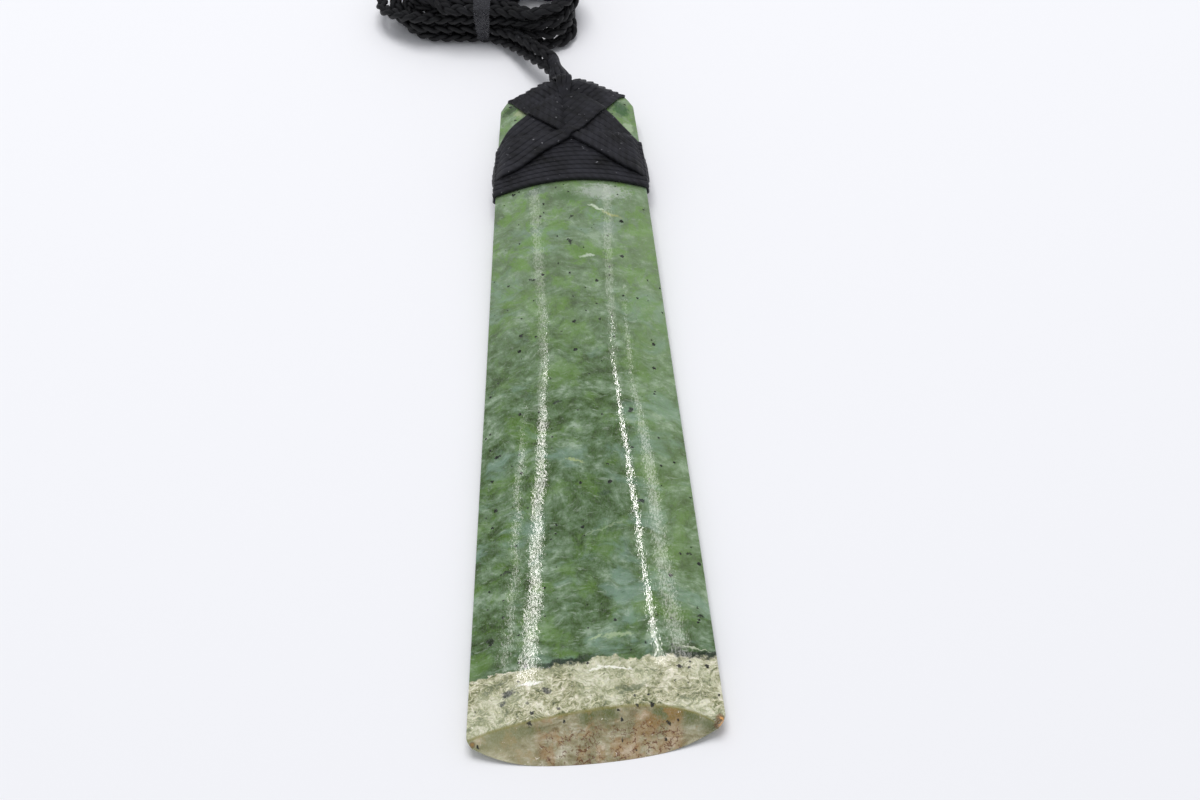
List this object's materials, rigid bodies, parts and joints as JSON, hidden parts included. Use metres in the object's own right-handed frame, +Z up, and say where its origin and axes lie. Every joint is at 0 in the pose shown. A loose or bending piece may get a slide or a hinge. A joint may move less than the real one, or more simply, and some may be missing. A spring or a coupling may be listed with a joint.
{
  "type": "jade adze pendant",
  "caption": "Polished nephrite adze blade worn as a pendant, with a waxed-cord lashing and a plaited neck cord in a tied hank, lying bevel side up.",
  "frame": {"origin": "on the table, under the middle of the stone and its lashing, neck whipping included and neck cord left out", "axes": "+X to the right across the blade, +Y from the cutting edge toward the butt and the neck cord, +Z up"},
  "size_m": [0.0492, 0.1631, 0.0091],
  "materials": {
    "polished_jade": null,
    "waxed_cord": "waxed, satin",
    "plaited_cord": "waxed, satin",
    "clear_plastic": "clear, glossy"
  },
  "bodies": {
    "root": {"stone_blade": "polished_jade", "lashing_turns": "waxed_cord", "lashing_cross": "waxed_cord", "neck_whipping": "waxed_cord", "neck_cord_1": "plaited_cord", "neck_cord_2": "plaited_cord", "neck_cord_hank": "plaited_cord", "hank_tie": "clear_plastic"}
  },
  "joints": []
}
